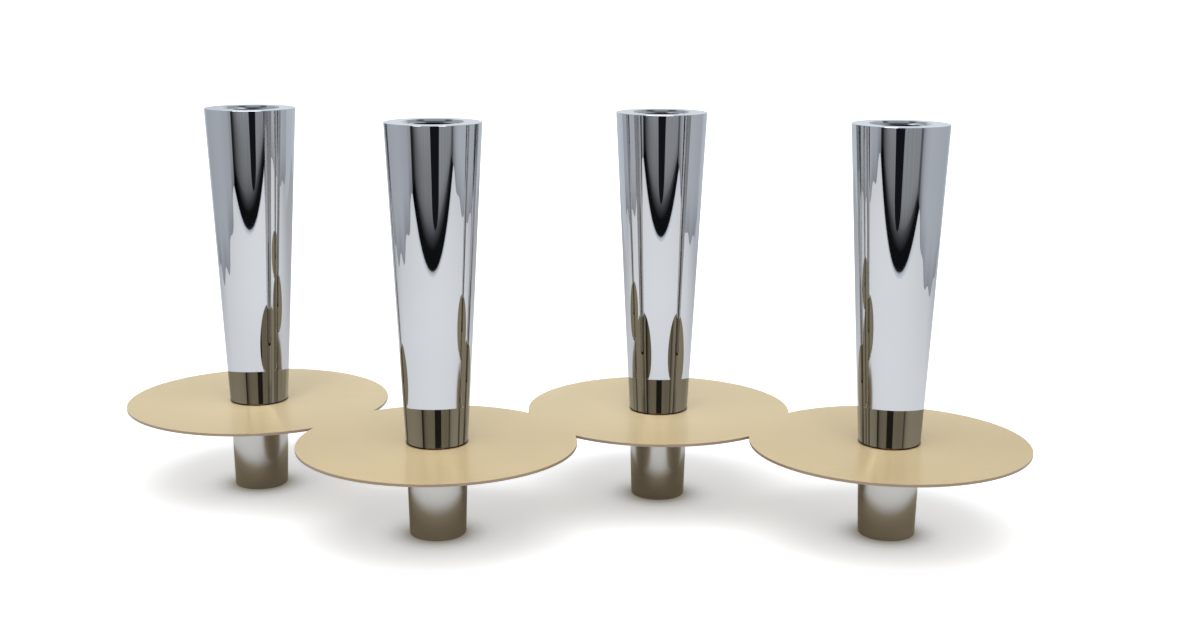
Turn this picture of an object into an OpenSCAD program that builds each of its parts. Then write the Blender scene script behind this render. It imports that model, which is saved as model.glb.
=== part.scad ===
// Candle holder for four taper candles: a thin plate of four joined discs, held between
// tapered stems above it and short feet below it. Each screw comes up through its foot
// and the plate into the stem. The origin is on the table, under the middle of the plate.

/* [Plate] */
// Diameter of each of the four discs
disc_d = 146.5; // [120:0.5:180]
// Overlap of the first and second discs, along the line through their centres
overlap_1 = 7; // [4:0.5:20]
// Overlap of the second and third discs
overlap_2 = 9.5; // [4:0.5:20]
// Overlap of the third and fourth discs
overlap_3 = 10.5; // [4:0.5:20]
// Direction from the first disc to the second, in degrees from +X
angle_1 = -37.5; // [-60:0.5:-10]
// Direction from the second disc to the third
angle_2 = 30.5; // [10:0.5:60]
// Direction from the third disc to the fourth
angle_3 = -29; // [-60:0.5:-10]
// Thickness of the sheet
plate_t = 1.5; // [1:0.1:4]
// Edge break along the plate's upper and lower outline
plate_break = 0.1; // [0.05:0.05:0.4]

/* [Stem] */
// Height of the stem above the plate
stem_h = 167; // [100:1:240]
// Radius of the stem at its rim
stem_top_r = 25; // [21:0.5:32]
// Radius of the stem and of the foot where they meet the plate
seat_r = 16.2; // [12:0.1:20]
// Rounding of the stem's lower edge
stem_edge_r = 1; // [0.4:0.1:2]
// Rounding of the rim's outer edge
rim_edge_r = 0.3; // [0.2:0.1:1.5]

/* [Candle socket] */
// Diameter of a taper candle's base
candle_d = 22; // [18:0.5:23]
// Clearance between candle and socket, on the radius
candle_gap = 0.4; // [0.2:0.05:0.8]
// Depth of the socket's straight wall
socket_depth = 26; // [15:0.5:40]
// Width of the shallow drip dish round the socket's mouth
dish_w = 5; // [2:0.5:6]
// Depth of the drip dish
dish_depth = 1; // [0.5:0.1:2]
// Width of the sloping wall round the drip dish
dish_slope_w = 0.8; // [0.3:0.1:2]
// Width and height of the bevel round the socket's mouth
mouth_bevel = 0.6; // [0.2:0.1:1.2]

/* [Foot] */
// Height of the plate's underside above the table
plate_z = 48.5; // [40:0.5:80]
// Radius of the foot at its base
foot_base_r = 14.8; // [13.5:0.1:20]
// Rounding of the foot's lower edge
foot_edge_r = 1; // [0.5:0.1:2.5]
// Rounding of the foot's upper edge
foot_top_edge_r = 0.3; // [0.2:0.1:0.8]

/* [Pad] */
// Thickness of the pad under the foot
pad_t = 1.6; // [1.2:0.1:3]
// How far the pad stands proud of the foot
pad_proud = 0.3; // [0.2:0.1:0.8]
// Width of flat metal between the pad's recess and the foot's rounded edge
pad_rim = 1.6; // [0.5:0.1:2]
// Clearance round the pad in its recess
pad_gap = 0.2; // [0.1:0.05:0.4]
// Edge break of the pad
pad_break = 0.3; // [0.1:0.05:0.5]

/* [Screw] */
// Diameter of the screw's shank
screw_d = 6; // [4:1:8]
// Length of thread that the screw has in the stem
thread_len = 14; // [8:0.5:24]
// Depth of the tapped hole past the screw's end
tap_spare = 4; // [2:0.5:8]
// Clearance between screw and tapped hole, on the radius
thread_gap = 0.05; // [0.02:0.01:0.1]
// Clearance round the screw in the foot, the plate and the washer
screw_gap = 0.25; // [0.1:0.05:0.5]
// Width of the head beyond the shank, on the radius
head_flange = 2; // [1.5:0.1:3]
// Height of the head
head_h = 6; // [4:0.5:8]
// Width across the flats of the hexagonal key hole
key_w = 5; // [3:0.5:6]
// Depth of the key hole
key_depth = 3; // [2:0.5:3.5]
// Edge break of the head and of the screw's tip
screw_break = 0.5; // [0.2:0.1:0.8]
// Space between the screw's head and the pad
head_space = 1.4; // [0.5:0.1:4]

/* [Washer] */
// Width of the washer beyond the screw's head, on the radius
washer_flange = 1; // [0.5:0.1:1.5]
// Thickness of the washer
washer_t = 1.6; // [1:0.1:2.5]
// Clearance round the washer in the foot's counterbore
washer_gap = 0.3; // [0.1:0.05:0.5]

/* [Hidden] */
count = 4;
function names(piece) = [for (i = [1:count]) str(piece, "_", i)];

$fn = 128;
drill_point = 59;
edge_steps = 8;
cut = 1;

// Heights above the table
foot_z = pad_proud;
pad_seat_z = pad_t;
plate_top = plate_z + plate_t;
rim_z = plate_top + stem_h;
washer_seat_z = pad_t + head_space + head_h + washer_t;
head_seat_z = washer_seat_z - washer_t;
head_z = head_seat_z - head_h;
screw_end_z = plate_top + thread_len;
tap_end_z = screw_end_z + tap_spare;
dish_z = rim_z - dish_depth;
socket_z = dish_z - mouth_bevel - socket_depth;

// Radii
disc_r = disc_d / 2;
socket_r = candle_d / 2 + candle_gap;
dish_r = socket_r + dish_w;
screw_r = screw_d / 2;
tap_r = screw_r + thread_gap;
screw_hole_r = screw_r + screw_gap;
head_r = screw_r + head_flange;
washer_r = head_r + washer_flange;
counterbore_r = washer_r + washer_gap;
pad_recess_r = foot_base_r - foot_edge_r - pad_rim;
pad_r = pad_recess_r - pad_gap;
key_r = key_w / 2 / cos(30);

// Centres of the discs, found one after the other and then moved to the middle
spacings = [for (overlap = [overlap_1, overlap_2, overlap_3]) disc_d - overlap];
angles = [angle_1, angle_2, angle_3];
function along(angle) = [cos(angle), sin(angle)];
function chain(i) = i == 0 ? [0, 0] : chain(i - 1) + spacings[i - 1] * along(angles[i - 1]);
links = [for (i = [0:count - 1]) chain(i)];
function middle(axis) = let (v = [for (p = links) p[axis]]) (min(v) + max(v)) / 2;
centres = [for (p = links) p - [middle(0), middle(1)]];

// Arc of radius r that rounds the corner b of the outline a, b, c
function unit(v) = v / norm(v);
function rounded(a, b, c, r) =
    let (
        u = unit(a - b),
        v = unit(c - b),
        half = acos(u * v) / 2,
        centre = b + unit(u + v) * r / sin(half),
        start = b + u * r / tan(half) - centre,
        end = b + v * r / tan(half) - centre,
        first = atan2(start[1], start[0]),
        sweep = (atan2(end[1], end[0]) - first + 540) % 360 - 180
    )
    [for (i = [0:edge_steps]) centre + r * along(first + sweep * i / edge_steps)];

module at_disc(i) {
    translate([centres[i - 1][0], centres[i - 1][1], 0]) children();
}

module disc() {
    rotate_extrude() polygon([
        [0, plate_z],
        [disc_r - plate_break, plate_z],
        [disc_r, plate_z + plate_break],
        [disc_r, plate_top - plate_break],
        [disc_r - plate_break, plate_top],
        [0, plate_top],
    ]);
}

module plate() {
    color([0.84, 0.77, 0.62]) difference() {
        union() {
            for (i = [1:count]) at_disc(i) disc();
        }
        for (i = [1:count]) at_disc(i) translate([0, 0, plate_z - cut])
            cylinder(r = screw_hole_r, h = plate_t + 2 * cut);
    }
}

module stem(i) {
    base_corner = [seat_r, plate_top];
    rim_corner = [stem_top_r, rim_z];
    color([0.80, 0.81, 0.84]) at_disc(i) rotate_extrude() polygon(concat(
        [[tap_r, plate_top]],
        rounded([tap_r, plate_top], base_corner, rim_corner, stem_edge_r),
        rounded(base_corner, rim_corner, [dish_r, rim_z], rim_edge_r),
        [
            [dish_r, rim_z],
            [dish_r - dish_slope_w, dish_z],
            [socket_r + mouth_bevel, dish_z],
            [socket_r, dish_z - mouth_bevel],
            [socket_r, socket_z],
            [0, socket_z],
            [0, tap_end_z + tap_r / tan(drill_point)],
            [tap_r, tap_end_z],
        ]
    ));
}

module foot(i) {
    base_corner = [foot_base_r, foot_z];
    top_corner = [seat_r, plate_z];
    color([0.72, 0.71, 0.69]) at_disc(i) rotate_extrude() polygon(concat(
        [[pad_recess_r, foot_z]],
        rounded([pad_recess_r, foot_z], base_corner, top_corner, foot_edge_r),
        rounded(base_corner, top_corner, [screw_hole_r, plate_z], foot_top_edge_r),
        [
            [screw_hole_r, plate_z],
            [screw_hole_r, washer_seat_z],
            [counterbore_r, washer_seat_z],
            [counterbore_r, pad_seat_z],
            [pad_recess_r, pad_seat_z],
        ]
    ));
}

module screw(i) {
    color([0.35, 0.36, 0.38]) at_disc(i) difference() {
        rotate_extrude() polygon([
            [0, head_z],
            [head_r - screw_break, head_z],
            [head_r, head_z + screw_break],
            [head_r, head_seat_z],
            [screw_r, head_seat_z],
            [screw_r, screw_end_z - screw_break],
            [screw_r - screw_break, screw_end_z],
            [0, screw_end_z],
        ]);
        translate([0, 0, head_z - cut]) cylinder(r = key_r, h = key_depth + cut, $fn = 6);
    }
}

module washer(i) {
    color([0.60, 0.61, 0.62]) at_disc(i) translate([0, 0, head_seat_z]) difference() {
        cylinder(r = washer_r, h = washer_t);
        translate([0, 0, -cut]) cylinder(r = screw_hole_r, h = washer_t + 2 * cut);
    }
}

module pad(i) {
    color([0.12, 0.12, 0.12]) at_disc(i) rotate_extrude() polygon([
        [0, 0],
        [pad_r - pad_break, 0],
        [pad_r, pad_break],
        [pad_r, pad_t],
        [0, pad_t],
    ]);
}

plate();
for (i = [1:count]) {
    stem(i);
    foot(i);
    screw(i);
    washer(i);
    pad(i);
}
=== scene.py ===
"""Looks of a candle holder for four taper candles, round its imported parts.

Mirror chrome stems and satin nickel feet hold a thin satin gold plate between them.
Every size is in metres, in the frame of the parts: +Z is up and the camera looks along +Y.
"""

import math

import bpy
from mathutils import Matrix, Vector


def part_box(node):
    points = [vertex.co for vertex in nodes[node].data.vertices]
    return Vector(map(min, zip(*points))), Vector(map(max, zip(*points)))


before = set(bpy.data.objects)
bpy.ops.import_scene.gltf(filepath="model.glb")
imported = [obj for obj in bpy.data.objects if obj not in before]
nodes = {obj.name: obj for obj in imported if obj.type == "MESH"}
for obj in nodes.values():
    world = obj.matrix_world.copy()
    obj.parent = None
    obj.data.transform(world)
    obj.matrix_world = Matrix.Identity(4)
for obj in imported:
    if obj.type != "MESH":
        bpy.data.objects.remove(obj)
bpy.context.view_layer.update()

# Camera, with its focal length and the drop of its axis in pixels of a picture that wide, and
# its sensor in millimetres
IMAGE_W = 1200
FOCAL_PX = 1604.45
AXIS_DROP_PX = -50.5
SENSOR_W = 36.0
CAMERA_AT = Vector((0.02154, -0.8522, 0.28685))
CAMERA_PITCH = math.radians(10.112)
CAMERA_ROLL = math.radians(0.299)
CLIP_NEAR = 0.01
CLIP_FAR = 100.0

# Noise: where most of its values lie, and a narrower span for stronger contrast
NOISE_SPAN = (0.3, 0.7)
NOISE_CORE = (0.35, 0.65)

# Metal: scale of the cloud over it, per metre along each axis, how far that darkens it, and the
# scale of a ripple along X and Y
METAL_CLOUD = (22, 22, 22)
METAL_DARKER = 0.97
RIPPLE_SPREAD = 4

# Chrome: how bright mirrors see it, where the camera sees 1, and the metres from it over which
# that sets in. The plate round a stem is closer, and other stems are not
CHROME_IN_MIRRORS = 0.72
CLOSE_BY = (0.06, 0.09)

# Chrome: how far below the rim the middle of a stem's socket is, and the painted shade that darkens
# the socket's chrome, by metres from that middle
SOCKET_MIDDLE_DROP = 0.0148
SOCKET_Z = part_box("stem_1")[1][2] - SOCKET_MIDDLE_DROP
SOCKET_PAINTED_SHADES = [(0.0172, (0.30, 0.30, 0.31)), (0.0180, (1.0, 1.0, 1.0))]

# Rubber: scale of its speckle, how far that lightens it, its roughness and its relief
RUBBER_SPECKLE = (900, 900, 900)
RUBBER_LIGHTER = 1.5
RUBBER_ROUGHNESS = (0.65, 0.85)
RUBBER_RELIEF = 0.00004

# Gold: scales of its grain, brushed along X, and of the cloud over it, the grain's share in the
# two, how far they darken it, its roughness, the grain's relief, and the upright part of the
# normal between which the cut edge turns into the face
GOLD_GRAIN = (12, 1100, 12)
GOLD_CLOUD = (14, 14, 14)
GRAIN_SHARE = 0.5
GOLD_DARKER = 0.95
GOLD_ROUGHNESS = (0.275, 0.29)
GOLD_RELIEF = 0.000001
EDGE_TO_FACE = (0.5, 0.9)

# Gold: painted shade on the plate's upper face where a stem meets it, as the camera and mirrors
# see it, with painted light just round that, by metres from the stem's middle, and painted shade
# that deepens towards the front, by metres along Y
PLATE_TOP_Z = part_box("plate")[1][2]
CREVICE_PAINTED_SHADES = [(0.0154, (0.14, 0.09, 0.05)), (0.0168, (1.0, 1.0, 1.0)),
                  (0.050, (0.95, 0.95, 0.95))]
MIRROR_CREVICE_PAINTED_SHADES = [(0.0168, (0.10, 0.05, 0.025)), (0.0185, (1.0, 1.0, 1.0)),
                         (0.050, (0.95, 0.95, 0.95))]
GOLD_PAINTED_FRONT_SHADES = [(-0.10, (0.83, 0.80, 0.75)), (-0.04, (0.855, 0.83, 0.79)),
               (0.03, (0.97, 0.97, 0.97)), (0.10, (1.0, 1.0, 1.0))]

# Colour inputs and output of a Mix node
MIX_FIRST = 6
MIX_SECOND = 7
MIX_RESULT = 2

# Floor: its size, how pale the camera sees it, and how much that is lifted from near the object
# to far from it
FLOOR_HALF = 30.0
FLOOR_SEEN = (0.965, 0.985, 1.0)
FLOOR_LIFT = (0.457, 1.0)
LIFT_REACH = (0.45, 1.10)

# Floor: its painted contact shadow and painted shade under the plate, and its colour in reflections
# with a painted shadow of the plate, tinted gold as if lit from its underside, by metres from a
# foot's middle or from a place behind it, and its painted dimming in reflections, by metres along Y
CONTACT_SHADES = [(0.015, (0.43, 0.41, 0.35)), (0.018, (0.58, 0.575, 0.545)),
                  (0.021, (0.72, 0.72, 0.71)), (0.027, (0.91, 0.915, 0.92)),
                  (0.034, (0.985, 0.99, 1.0)), (0.045, (1.0, 1.0, 1.0))]
SHADE_BEHIND = 0.035
UNDER_SHADES = [(0.045, (0.95, 0.955, 0.965)), (0.08, (1.0, 1.0, 1.0))]
PAINTED_SHADOW_BEHIND = 0.017
FLOOR_COLOUR_AND_PAINTED_SHADOW = [(0.0, (0.80, 0.70, 0.54)), (0.066, (0.58, 0.515, 0.405)),
               (0.083, (0.93, 0.965, 1.0)), (0.11, (0.87, 0.90, 0.935)),
               (0.14, (0.85, 0.88, 0.915))]
FLOOR_PAINTED_FALLOFF = [(0.05, 1.0), (0.50, 0.72)]

# Studio round the floor: cloth at both sides and at the open front, a back wall and a ceiling, as
# glowing screens that only reflections see, with the studio's light and shade painted into them.
# Its levels are greys, given a slightly blue tint
FRONT_Y = -0.700
BACK_Y = 1.20
HALF_W = 1.6
SCREEN_H = 0.90
CEILING_Z = 1.40
COOL = (0.93, 1.0, 1.10)
WHITE = (1, 1, 1, 1)

# Side cloth: middle X, depth of its waves, Y of a crest and length of a wave. Then how bright it
# is, by metres along Y, and the share of that which is left low down, by metres above the floor
LEFT_CLOTH = (-0.690, 0.032, -0.10, 0.28)
RIGHT_CLOTH = (0.708, -0.018, -0.42, 0.27)
CLOTH_STEPS = 190
LEFT_LEVELS = [(-0.70, 0.02), (-0.608, 0.02), (-0.598, 0.37), (-0.50, 0.42), (-0.42, 0.47),
               (-0.10, 0.525), (0.10, 0.51), (0.30, 0.47), (0.60, 0.47), (1.20, 0.56)]
RIGHT_LEVELS = [(-0.70, 0.22), (-0.66, 0.08), (-0.635, 0.12), (-0.60, 0.335), (-0.50, 0.45),
                (-0.42, 0.51), (-0.30, 0.56), (0.0, 0.54), (0.35, 0.495), (0.60, 0.51),
                (1.20, 0.56)]
WALL_HEIGHTS = [(0.0, 0.68), (0.010, 0.77), (0.030, 0.93), (0.048, 1.0)]

# Low wings at the back: name, X, Y of the front end and level
WING_H = 0.30
WINGS = [("left_wing", -0.43, 0.30, 0.66), ("right_wing", 0.53, 0.40, 0.61)]

# Front cloth: its levels by metres above the floor, at its left and at its right, and the X
# between which they blend
LOW_LEFT_LEVELS = [(0.0, 0.14), (0.012, 0.20), (0.02, 0.225), (0.03, 0.245), (0.045, 0.26),
                   (0.06, 0.285), (0.09, 0.33)]
LOW_RIGHT_LEVELS = [(0.0, 0.16), (0.01, 0.23), (0.02, 0.285), (0.03, 0.31), (0.06, 0.325),
                    (0.09, 0.325)]
LEFT_TO_RIGHT = (-0.10, 0.25)

# Front cloth: the share of that which is left by metres along X, low down and high up, and the
# Z between which they blend
LOW_SIDE_LEVELS = [(-0.70, 0.06), (-0.66, 0.12), (-0.585, 0.38), (-0.50, 0.62), (-0.417, 0.80),
                   (-0.34, 0.92), (-0.27, 1.0), (0.665, 1.0), (0.69, 0.40), (0.71, 0.40)]
HIGH_SIDE_LEVELS = [(-0.70, 0.20), (-0.68, 0.12), (-0.65, 0.16), (-0.60, 0.55), (-0.52, 0.74),
                    (-0.46, 0.90), (-0.40, 1.0), (0.665, 1.0), (0.69, 0.40), (0.71, 0.40)]
LOW_TO_HIGH = (0.04, 0.10)

# Front cloth: the scale of its folds, per metre along each axis, the shares between which they
# go, and its tint
FOLD_SCALE = (42, 0, 1.5)
FOLD_LEVELS = (0.88, 1.12)
FRONT_TINT = (0.95, 1.0, 1.06)

# Lamp above the front cloth: two opposite corners and its level
FRONT_LAMP_CORNERS = ((-0.80, FRONT_Y, 0.95), (0.55, FRONT_Y, 1.35))
FRONT_LAMP = 8.0

# End of the table top: its height above the floor, where it stops, its levels by metres along Y
# with the gap in front of it, how much it bows towards the sides, and the Y over which the gap's
# darker sides give way to it
EDGE_Z = 0.0005
TABLE_Y = -0.540
EDGE_LEVELS = [(-0.70, 0.14), (-0.68, 0.10), (-0.665, 0.065), (-0.645, 0.035), (-0.62, 0.007),
               (-0.562, 0.006), (-0.5565, 0.012), (-0.5515, 0.58), (-0.54, 0.80)]
EDGE_BOW = 0.095
GAP_TO_EDGE = (-0.60, -0.58)

# Back wall by metres above the floor, ceiling by metres along Y, and the soft-edged lamp in the
# ceiling with its shares by metres along X and Y
BACK_LEVELS = [(0.0, 0.63), (0.25, 0.64), (0.30, 0.76), (0.38, 0.86), (0.50, 0.80), (0.70, 0.80),
               (1.40, 0.60)]
CEILING_LEVELS = [(-0.70, 0.36), (-0.28, 0.38), (-0.18, 0.12), (0.0, 0.14), (0.20, 0.43),
                  (1.20, 0.43)]
CEILING_LAMP = 1.2
LAMP_ACROSS = [(-0.60, 0.0), (-0.25, 1.0), (0.15, 1.0), (0.50, 0.0)]
LAMP_ALONG = [(0.0, 0.0), (0.25, 1.0), (0.50, 1.0), (0.80, 0.0)]

# Dark upright shape in front: its middle, the half widths and heights of its foot and of its
# widest place, the depth of the foot's rounding, and its top with the reach to either side
FLAG_X = 0.044
FLAG_Y = -0.665
FLAG_FOOT_HALF = 0.096
FLAG_FOOT_Z = 0.004
FLAG_FOOT_ROUND = 0.03
FLAG_FOOT_STEPS = 24
FLAG_HALF = 0.124
FLAG_FULL_Z = 0.11
FLAG_TOP_Z = 0.45
FLAG_TOP_LEFT = 0.112
FLAG_TOP_RIGHT = 0.151
FLAG_COLOUR = (0.009, 0.0095, 0.013)

# Light on the object: the world's strength, and a lamp above it that turns to the middle
WORLD_LIGHT = 0.59
OVERHEAD_AT = Vector((0.0, -0.40, 1.2))
OVERHEAD_SIZE = (1.5, 1.1)
OVERHEAD_WATTS = 9.9


def link(tree, source, target):
    tree.links.new(source, target)


def material(name):
    """A new material with nodes: (material, tree, output node)."""
    made = bpy.data.materials.new(name)
    made.use_nodes = True
    tree = made.node_tree
    tree.nodes.clear()
    out = tree.nodes.new("ShaderNodeOutputMaterial")
    return made, tree, out


def add(tree, kind, **values):
    """A node, with properties set by name and inputs set by their socket's name."""
    node = tree.nodes.new(kind)
    for key, value in values.items():
        if hasattr(node, key):
            setattr(node, key, value)
        else:
            node.inputs[key.replace("_", " ")].default_value = value
    return node


def point(tree):
    """The shaded point in the row frame, as a socket."""
    return tree.nodes.new("ShaderNodeTexCoord").outputs["Object"]


def split(tree, vector):
    """The X, Y and Z of a vector from a socket, as three sockets."""
    parts = tree.nodes.new("ShaderNodeSeparateXYZ")
    link(tree, vector, parts.inputs[0])
    return parts.outputs["X"], parts.outputs["Y"], parts.outputs["Z"]


def math_node(tree, operation, a, b=0.0):
    """The output of a Math node whose inputs are numbers or sockets."""
    node = add(tree, "ShaderNodeMath", operation=operation)
    for socket, value in zip(node.inputs, (a, b)):
        if isinstance(value, bpy.types.NodeSocket):
            link(tree, value, socket)
        else:
            socket.default_value = value
    return node.outputs[0]


def ramp(tree, value, stops):
    """A colour ramp over a socket: stops are (place, colour), and a number is a grey."""
    node = tree.nodes.new("ShaderNodeValToRGB")
    elements = node.color_ramp.elements
    while len(elements) < len(stops):
        elements.new(0.5)
    for element, (place, colour) in zip(elements, stops):
        element.position = place
        grey = isinstance(colour, (int, float))
        element.color = (colour, colour, colour, 1) if grey else (*colour, 1)
    link(tree, value, node.inputs["Fac"])
    return node.outputs["Color"]


def map_range(tree, value, span, to=(0.0, 1.0), smooth=True):
    """A socket's values, taken from one (low, high) pair to another."""
    kind = "SMOOTHSTEP" if smooth else "LINEAR"
    node = add(tree, "ShaderNodeMapRange", interpolation_type=kind, From_Min=span[0],
               From_Max=span[1], To_Min=to[0], To_Max=to[1])
    link(tree, value, node.inputs["Value"])
    return node.outputs["Result"]


def along(tree, value, stops):
    """A grey or colour that follows (place, level) stops along a socket, with places in metres."""
    low, high = stops[0][0], stops[-1][0]
    spot = map_range(tree, value, (low, high), smooth=False)
    return ramp(tree, spot, [((place - low) / (high - low), level) for place, level in stops])


def blend(tree, first, second, share):
    """Goes from the first grey to the second as the share goes from 0 to 1."""
    rest = math_node(tree, "SUBTRACT", 1.0, share)
    return math_node(tree, "ADD", math_node(tree, "MULTIPLY", first, rest),
                     math_node(tree, "MULTIPLY", second, share))


def multiply(tree, first, second):
    """The product of a colour from a socket and another, which may be a tuple."""
    node = add(tree, "ShaderNodeVectorMath", operation="MULTIPLY")
    link(tree, first, node.inputs[0])
    if isinstance(second, tuple):
        node.inputs[1].default_value = second
    else:
        link(tree, second, node.inputs[1])
    return node.outputs[0]


def tones(tree, noise, span, first, second):
    """Goes from the first colour to the second over a span of a noise's values."""
    return ramp(tree, noise, [(span[0], first), (span[1], second)])


def stretched_noise(tree, scale, detail):
    """Noise over the row frame, with its own scale along X, Y and Z, per metre."""
    fit = add(tree, "ShaderNodeMapping", Scale=scale)
    link(tree, point(tree), fit.inputs["Vector"])
    noise = add(tree, "ShaderNodeTexNoise", Scale=1.0, Detail=detail)
    link(tree, fit.outputs["Vector"], noise.inputs["Vector"])
    return noise.outputs["Fac"]


def bump(tree, height, distance):
    """A normal tilted by a height from a socket, which stands for that distance."""
    node = add(tree, "ShaderNodeBump", Strength=1.0, Distance=distance)
    link(tree, height, node.inputs["Height"])
    return node.outputs["Normal"]


def from_nearest_foot(tree, z=0.0, behind=0.0):
    """How far a point at height z is from the nearest foot's middle, as a socket.

    The distance is measured from a place that lies behind the middle, along +Y.
    """
    nearest = None
    for name in nodes:
        if name.startswith("foot_"):
            low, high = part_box(name)
            middle = ((low[0] + high[0]) / 2, (low[1] + high[1]) / 2 + behind, z)
            away = add(tree, "ShaderNodeVectorMath", operation="DISTANCE")
            link(tree, point(tree), away.inputs[0])
            away.inputs[1].default_value = middle
            distance = away.outputs["Value"]
            nearest = distance if nearest is None else math_node(tree, "MINIMUM", nearest, distance)
    return nearest


def for_camera(tree, seen, other):
    """A surface that shows the camera one shader, and mirrors and lamps the other."""
    path = tree.nodes.new("ShaderNodeLightPath")
    mix = tree.nodes.new("ShaderNodeMixShader")
    link(tree, path.outputs["Is Camera Ray"], mix.inputs[0])
    link(tree, other, mix.inputs[1])
    link(tree, seen, mix.inputs[2])
    return mix.outputs[0]


def dim_in_mirrors(tree, shader, share):
    """The shader, of whose light mirrors see only that share, apart from those close to it."""
    black = add(tree, "ShaderNodeBsdfDiffuse", Color=(0, 0, 0, 1))
    away = tree.nodes.new("ShaderNodeLightPath").outputs["Ray Length"]
    dimmed = tree.nodes.new("ShaderNodeMixShader")
    link(tree, map_range(tree, away, CLOSE_BY, (1.0, share)), dimmed.inputs[0])
    link(tree, black.outputs[0], dimmed.inputs[1])
    link(tree, shader, dimmed.inputs[2])
    return for_camera(tree, shader, dimmed.outputs[0])


def metal(name, base, roughness, wander, ripple=None, grain=None, in_mirrors=None, hollow=None):
    """Metal whose colour and roughness wander a little, with fine bump from its finish.

    A ripple along Z or a grain is its scale per metre and its relief. The share in_mirrors is
    how much of its light mirrors see. A hollow is a height and the (metres, colour) stops of
    painted shade by which the metal is darkened round it.
    """
    made, tree, out = material(name)
    shader = add(tree, "ShaderNodeBsdfPrincipled", Metallic=1.0)
    cloud = stretched_noise(tree, METAL_CLOUD, detail=3)
    darker = tuple(METAL_DARKER * c for c in base)
    colour = tones(tree, cloud, NOISE_SPAN, darker, base)
    # Painted shade: the metal darkened round a hollow, such as a stem's socket
    if hollow is not None:
        z, stops = hollow
        colour = multiply(tree, colour, along(tree, from_nearest_foot(tree, z), stops))
    link(tree, colour, shader.inputs["Base Color"])
    spread = map_range(tree, cloud, NOISE_SPAN, (roughness, roughness + wander))
    link(tree, spread, shader.inputs["Roughness"])
    if ripple is not None:
        scale, relief = ripple
        waves = stretched_noise(tree, (RIPPLE_SPREAD, RIPPLE_SPREAD, scale), detail=2)
        link(tree, bump(tree, waves, relief), shader.inputs["Normal"])
    if grain is not None:
        scale, relief = grain
        grains = stretched_noise(tree, (scale,) * 3, detail=2)
        link(tree, bump(tree, grains, relief), shader.inputs["Normal"])
    surface = shader.outputs[0]
    if in_mirrors is not None:
        surface = dim_in_mirrors(tree, surface, in_mirrors)
    link(tree, surface, out.inputs["Surface"])
    return made


def rubber(name, base):
    """Dull rubber with a fine, lighter speckle."""
    made, tree, out = material(name)
    shader = tree.nodes.new("ShaderNodeBsdfPrincipled")
    speckle = stretched_noise(tree, RUBBER_SPECKLE, detail=3)
    lighter = tuple(RUBBER_LIGHTER * c for c in base)
    link(tree, tones(tree, speckle, NOISE_CORE, base, lighter), shader.inputs["Base Color"])
    link(tree, map_range(tree, speckle, NOISE_SPAN, RUBBER_ROUGHNESS), shader.inputs["Roughness"])
    link(tree, bump(tree, speckle, RUBBER_RELIEF), shader.inputs["Normal"])
    link(tree, shader.outputs[0], out.inputs["Surface"])
    return made


def gold(name, face, cut_edge, polished):
    """Satin gold sheet, faintly brushed along X, with a greyer cut edge.

    Mirrors see a darker, polished copy of it, which paints shade into its reflections.
    """
    made, tree, out = material(name)
    satin = add(tree, "ShaderNodeBsdfPrincipled", Metallic=0.23, IOR=1.4, Coat_Weight=0.10,
                Coat_Roughness=0.08, Anisotropic=1.0)
    grain = stretched_noise(tree, GOLD_GRAIN, detail=3)
    cloud = stretched_noise(tree, GOLD_CLOUD, detail=3)
    streaks = blend(tree, cloud, grain, GRAIN_SHARE)
    normal = tree.nodes.new("ShaderNodeNewGeometry").outputs["Normal"]
    upright = math_node(tree, "ABSOLUTE", split(tree, normal)[2])
    colour = add(tree, "ShaderNodeMix", data_type="RGBA")
    link(tree, map_range(tree, upright, EDGE_TO_FACE), colour.inputs["Factor"])
    colour.inputs[MIX_FIRST].default_value = (*cut_edge, 1)
    darker = tuple(GOLD_DARKER * c for c in face)
    link(tree, tones(tree, streaks, NOISE_CORE, darker, face), colour.inputs[MIX_SECOND])
    # Painted shade in the crevice round each stem, painted light just outside it, and painted shade
    # deepening towards the front
    painted_crevice = along(tree, from_nearest_foot(tree, PLATE_TOP_Z), CREVICE_PAINTED_SHADES)
    shade = multiply(tree, painted_crevice, along(tree, split(tree, point(tree))[1], GOLD_PAINTED_FRONT_SHADES))
    link(tree, multiply(tree, shade, colour.outputs[MIX_RESULT]), satin.inputs["Base Color"])
    link(tree, map_range(tree, streaks, NOISE_CORE, GOLD_ROUGHNESS), satin.inputs["Roughness"])
    link(tree, bump(tree, grain, GOLD_RELIEF), satin.inputs["Normal"])
    across = add(tree, "ShaderNodeVectorMath", operation="CROSS_PRODUCT")
    link(tree, normal, across.inputs[0])
    across.inputs[1].default_value = (1, 0, 0)
    link(tree, across.outputs[0], satin.inputs["Tangent"])
    # Darker polished copy of the gold that mirrors see: painted shade in the plate's reflections
    polish = add(tree, "ShaderNodeBsdfPrincipled", Metallic=0.975, Roughness=0.04,
                 Specular_Tint=(0.80, 0.74, 0.58, 1))
    # Painted shade in the crevice round each stem, as mirrors see it
    painted_crevice = along(tree, from_nearest_foot(tree, PLATE_TOP_Z), MIRROR_CREVICE_PAINTED_SHADES)
    link(tree, multiply(tree, painted_crevice, polished), polish.inputs["Base Color"])
    link(tree, for_camera(tree, satin.outputs[0], polish.outputs[0]), out.inputs["Surface"])
    return made


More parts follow.
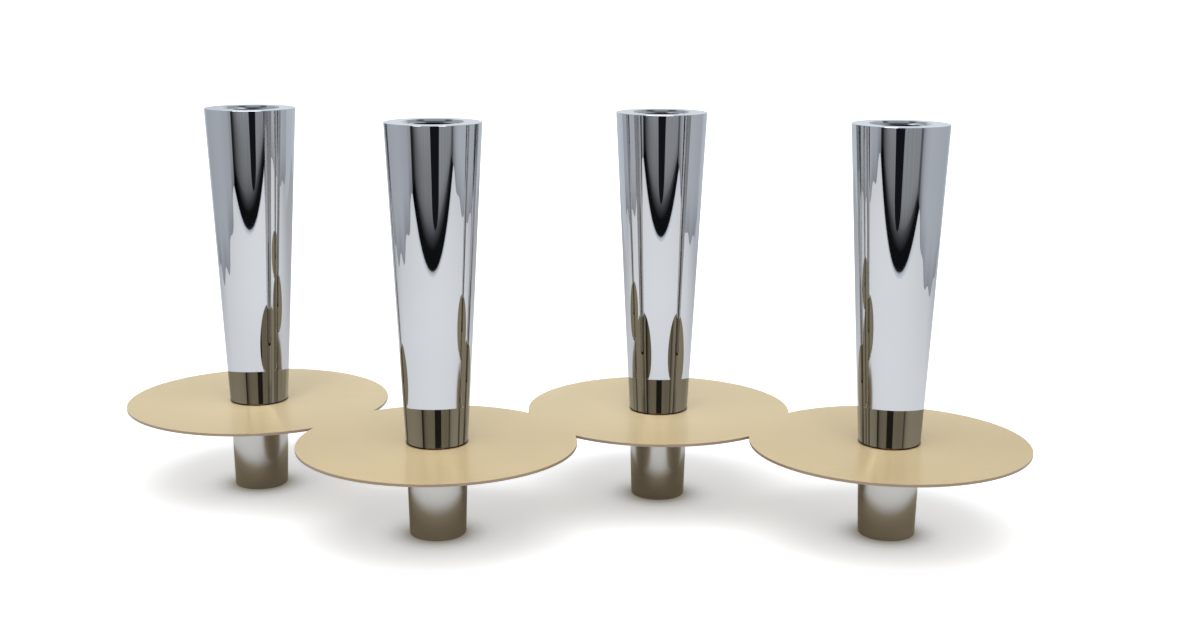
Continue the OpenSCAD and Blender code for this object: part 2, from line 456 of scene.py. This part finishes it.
def floor_material():
    """Pale floor. The camera sees it lifted to white, with the object's shadow kept.

    The camera also sees a painted contact shadow and painted shade under the plate. Reflections
    see a painted shadow below the plate, tinted gold as if lit from the plate's underside, and
    painted dimming behind the object.
    """
    made, tree, out = material("pale_floor")
    # Painted shadow of the plate on the floor, tinted gold, that reflections see
    tint = along(tree, from_nearest_foot(tree, behind=PAINTED_SHADOW_BEHIND), FLOOR_COLOUR_AND_PAINTED_SHADOW)
    # Painted dimming of the reflected floor towards the back
    dimmer = add(tree, "ShaderNodeVectorMath", operation="SCALE")
    link(tree, tint, dimmer.inputs[0])
    link(tree, along(tree, split(tree, point(tree))[1], FLOOR_PAINTED_FALLOFF), dimmer.inputs["Scale"])
    plain = tree.nodes.new("ShaderNodeBsdfDiffuse")
    link(tree, dimmer.outputs[0], plain.inputs["Color"])
    # Painted contact shadow round each foot and painted shade under the plate, as the camera sees
    # the floor
    contact = along(tree, from_nearest_foot(tree), CONTACT_SHADES)
    under = along(tree, from_nearest_foot(tree, behind=SHADE_BEHIND), UNDER_SHADES)
    shade = multiply(tree, contact, under)
    seen = tree.nodes.new("ShaderNodeBsdfDiffuse")
    link(tree, multiply(tree, shade, FLOOR_SEEN), seen.inputs["Color"])
    away = add(tree, "ShaderNodeVectorMath", operation="LENGTH")
    link(tree, point(tree), away.inputs[0])
    strength = map_range(tree, away.outputs["Value"], LIFT_REACH, FLOOR_LIFT)
    lift = tree.nodes.new("ShaderNodeEmission")
    link(tree, shade, lift.inputs["Color"])
    link(tree, strength, lift.inputs["Strength"])
    lifted = tree.nodes.new("ShaderNodeAddShader")
    link(tree, seen.outputs[0], lifted.inputs[0])
    link(tree, lift.outputs[0], lifted.inputs[1])
    link(tree, for_camera(tree, lifted.outputs[0], plain.outputs[0]), out.inputs["Surface"])
    made.cycles.emission_sampling = "NONE"
    return made


def dress(prefix, made):
    """Gives a material to each node of that name, such as stem_1 to stem_4."""
    for name, node in nodes.items():
        if name == prefix or name.startswith(prefix + "_"):
            node.data.materials.clear()
            node.data.materials.append(made)


def dress_all():
    dress("stem", metal("mirror_chrome", base=(0.71, 0.71, 0.72), roughness=0.010, wander=0.015,
                        ripple=(600, 0.0000005), in_mirrors=CHROME_IN_MIRRORS,
                        hollow=(SOCKET_Z, SOCKET_PAINTED_SHADES)))
    dress("foot", metal("satin_nickel", base=(0.62, 0.60, 0.57), roughness=0.09, wander=0.02,
                        grain=(2500, 0.000003)))
    dress("plate", gold("satin_gold", face=(0.965, 0.783, 0.458), cut_edge=(0.48, 0.37, 0.28),
                        polished=(0.555, 0.455, 0.315)))
    dress("screw", metal("black_steel", base=(0.22, 0.22, 0.23), roughness=0.35, wander=0.10,
                         grain=(1800, 0.00001)))
    dress("washer", metal("zinc_steel", base=(0.58, 0.59, 0.60), roughness=0.30, wander=0.10,
                          grain=(1800, 0.00001)))
    dress("pad", rubber("black_rubber", base=(0.012, 0.012, 0.013)))


def cool(tree, level, tint=COOL):
    """The studio's slightly blue grey at a level from a socket."""
    return ramp(tree, level, [(0.0, (0, 0, 0)), (1.0, tint)])


def wall_colour(levels):
    """A side screen's glow along Y, with painted shade where it meets the floor."""
    def colour(tree):
        _, y, z = split(tree, point(tree))
        low = along(tree, z, WALL_HEIGHTS)
        return cool(tree, math_node(tree, "MULTIPLY", along(tree, y, levels), low))
    return colour


def front_colour(tree):
    """The open front: dim folded cloth, darker low down and at its ends."""
    x, _, z = split(tree, point(tree))
    low = blend(tree, along(tree, z, LOW_LEFT_LEVELS), along(tree, z, LOW_RIGHT_LEVELS),
                map_range(tree, x, LEFT_TO_RIGHT))
    side = blend(tree, along(tree, x, LOW_SIDE_LEVELS), along(tree, x, HIGH_SIDE_LEVELS),
                 map_range(tree, z, LOW_TO_HIGH))
    folds = map_range(tree, stretched_noise(tree, FOLD_SCALE, detail=3), NOISE_SPAN, FOLD_LEVELS)
    level = math_node(tree, "MULTIPLY", low, side)
    return cool(tree, math_node(tree, "MULTIPLY", level, folds), tint=FRONT_TINT)


def back_colour(tree):
    return cool(tree, along(tree, split(tree, point(tree))[2], BACK_LEVELS))


def ceiling_colour(tree):
    """The ceiling, dim at the front, with a soft-edged lamp in it."""
    x, y, _ = split(tree, point(tree))
    lamp = math_node(tree, "MULTIPLY", along(tree, x, LAMP_ACROSS), along(tree, y, LAMP_ALONG))
    lamp = math_node(tree, "MULTIPLY", lamp, CEILING_LAMP)
    level = math_node(tree, "ADD", along(tree, y, CEILING_LEVELS), lamp)
    shade = add(tree, "ShaderNodeVectorMath", operation="SCALE")
    shade.inputs[0].default_value = COOL
    link(tree, level, shade.inputs["Scale"])
    return shade.outputs[0]


def edge_colour(tree):
    """The end of the table top, which bows towards the sides, and the gap in front of it."""
    x, y, _ = split(tree, point(tree))
    bow = math_node(tree, "MULTIPLY", math_node(tree, "MULTIPLY", x, x), EDGE_BOW)
    level = along(tree, math_node(tree, "ADD", y, bow), EDGE_LEVELS)
    shaded = math_node(tree, "MULTIPLY", level, along(tree, x, LOW_SIDE_LEVELS))
    return cool(tree, blend(tree, shaded, level, map_range(tree, y, GAP_TO_EDGE)))


def glow(name, colour):
    """A screen's brightness: colour is a tuple, or a function of the tree that gives a socket."""
    made, tree, out = material(name)
    made.cycles.emission_sampling = "NONE"
    shader = tree.nodes.new("ShaderNodeEmission")
    if callable(colour):
        link(tree, colour(tree), shader.inputs["Color"])
    else:
        shader.inputs["Color"].default_value = (*colour, 1)
    link(tree, shader.outputs[0], out.inputs["Surface"])
    return made


def new_piece(name, verts, faces, made):
    """An object with its mesh and material, in the scene."""
    mesh = bpy.data.meshes.new(name)
    mesh.from_pydata(verts, [], faces)
    mesh.materials.append(made)
    piece = bpy.data.objects.new(name, mesh)
    bpy.context.scene.collection.objects.link(piece)
    return piece


def rectangle(low, high):
    """The corners of a level or upright rectangle between two opposite ones, and its face."""
    (x0, y0, z0), (x1, y1, z1) = low, high
    if z0 == z1:
        corners = [(x0, y0, z0), (x1, y0, z0), (x1, y1, z0), (x0, y1, z0)]
    else:
        corners = [(x0, y0, z0), (x1, y1, z0), (x1, y1, z1), (x0, y0, z1)]
    return corners, [(0, 1, 2, 3)]


def screen(name, shape, colour):
    """A stage piece that only reflections see. A shape is its corners and its faces."""
    verts, faces = shape
    piece = new_piece(name, verts, faces, glow(name, colour))
    piece.visible_camera = False
    piece.visible_diffuse = False
    piece.visible_transmission = False
    piece.visible_volume_scatter = False
    piece.visible_shadow = False


def curtain(middle, depth, crest, period):
    """The shape of hanging cloth: its plan is a wave along Y with a crest at one place."""
    verts = []
    for i in range(CLOTH_STEPS + 1):
        y = FRONT_Y + (BACK_Y - FRONT_Y) * i / CLOTH_STEPS
        x = middle + depth * math.cos(2 * math.pi * (y - crest) / period)
        verts += [(x, y, 0.0), (x, y, SCREEN_H)]
    return verts, [(2 * i, 2 * i + 2, 2 * i + 3, 2 * i + 1) for i in range(CLOTH_STEPS)]


def flag():
    """The shape of the dark upright piece in front of the object, with a blunt rounded foot."""
    corners = []
    for i in range(FLAG_FOOT_STEPS + 1):
        turn = math.pi * i / FLAG_FOOT_STEPS
        x = FLAG_X - FLAG_FOOT_HALF * math.cos(turn)
        corners.append((x, FLAG_Y, FLAG_FOOT_Z + FLAG_FOOT_ROUND * (1 - math.sin(turn))))
    corners += [(FLAG_X + FLAG_HALF, FLAG_Y, FLAG_FULL_Z),
                (FLAG_X + FLAG_TOP_RIGHT, FLAG_Y, FLAG_TOP_Z),
                (FLAG_X - FLAG_TOP_LEFT, FLAG_Y, FLAG_TOP_Z),
                (FLAG_X - FLAG_HALF, FLAG_Y, FLAG_FULL_Z)]
    return corners, [tuple(range(len(corners)))]


def build_studio():
    corners, faces = rectangle((-FLOOR_HALF, -FLOOR_HALF, 0), (FLOOR_HALF, FLOOR_HALF, 0))
    floor = new_piece("floor", corners, faces, floor_material())
    screen("left_screen", curtain(*LEFT_CLOTH), wall_colour(LEFT_LEVELS))
    screen("right_screen", curtain(*RIGHT_CLOTH), wall_colour(RIGHT_LEVELS))
    screen("table_edge", rectangle((-HALF_W, FRONT_Y, EDGE_Z), (HALF_W, TABLE_Y, EDGE_Z)),
           edge_colour)
    screen("front_screen", rectangle((-HALF_W, FRONT_Y, 0), (HALF_W, FRONT_Y, SCREEN_H)),
           front_colour)
    screen("back_screen", rectangle((-HALF_W, BACK_Y, 0), (HALF_W, BACK_Y, CEILING_Z)),
           back_colour)
    screen("ceiling", rectangle((-HALF_W, FRONT_Y, CEILING_Z), (HALF_W, BACK_Y, CEILING_Z)),
           ceiling_colour)
    for name, x, y, level in WINGS:
        screen(name, rectangle((x, y, 0), (x, BACK_Y, WING_H)), tuple(level * c for c in COOL))
    screen("front_lamp", rectangle(*FRONT_LAMP_CORNERS), (FRONT_LAMP,) * 3)
    screen("dark_flag", flag(), FLAG_COLOUR)


def build_light():
    """White round the object in reflections, even light from above on everything else."""
    world = bpy.data.worlds.new("studio")
    bpy.context.scene.world = world
    world.use_nodes = True
    tree = world.node_tree
    tree.nodes.clear()
    out = tree.nodes.new("ShaderNodeOutputWorld")
    even = add(tree, "ShaderNodeBackground", Color=WHITE, Strength=WORLD_LIGHT)
    white = add(tree, "ShaderNodeBackground", Color=WHITE, Strength=1.0)
    path = tree.nodes.new("ShaderNodeLightPath")
    seen = math_node(tree, "MAXIMUM", path.outputs["Is Camera Ray"], path.outputs["Is Glossy Ray"])
    seen = math_node(tree, "MAXIMUM", seen, path.outputs["Is Transmission Ray"])
    mix = tree.nodes.new("ShaderNodeMixShader")
    link(tree, seen, mix.inputs[0])
    link(tree, even.outputs[0], mix.inputs[1])
    link(tree, white.outputs[0], mix.inputs[2])
    link(tree, mix.outputs[0], out.inputs["Surface"])

    data = bpy.data.lights.new("overhead", "AREA")
    data.shape = "RECTANGLE"
    data.size, data.size_y = OVERHEAD_SIZE
    data.energy = OVERHEAD_WATTS
    lamp = bpy.data.objects.new("overhead", data)
    lamp.location = OVERHEAD_AT
    lamp.rotation_euler = (math.atan2(-OVERHEAD_AT.y, OVERHEAD_AT.z), 0, 0)
    lamp.visible_glossy = False
    bpy.context.scene.collection.objects.link(lamp)


def build_camera():
    data = bpy.data.cameras.new("camera")
    data.sensor_width = SENSOR_W
    data.lens = FOCAL_PX / IMAGE_W * SENSOR_W
    data.shift_y = AXIS_DROP_PX / IMAGE_W
    data.clip_start = CLIP_NEAR
    data.clip_end = CLIP_FAR
    camera = bpy.data.objects.new("camera", data)
    ahead = Vector((0, math.cos(CAMERA_PITCH), -math.sin(CAMERA_PITCH)))
    level_up = Vector((0, math.sin(CAMERA_PITCH), math.cos(CAMERA_PITCH)))
    level_right = Vector((1, 0, 0))
    right = math.cos(CAMERA_ROLL) * level_right + math.sin(CAMERA_ROLL) * level_up
    up = math.cos(CAMERA_ROLL) * level_up - math.sin(CAMERA_ROLL) * level_right
    turn = Matrix((right, up, -ahead)).transposed()
    camera.matrix_world = Matrix.Translation(CAMERA_AT) @ turn.to_4x4()
    bpy.context.scene.collection.objects.link(camera)
    bpy.context.scene.camera = camera


dress_all()
build_studio()
build_light()
build_camera()
bpy.context.scene.view_settings.view_transform = "Standard"
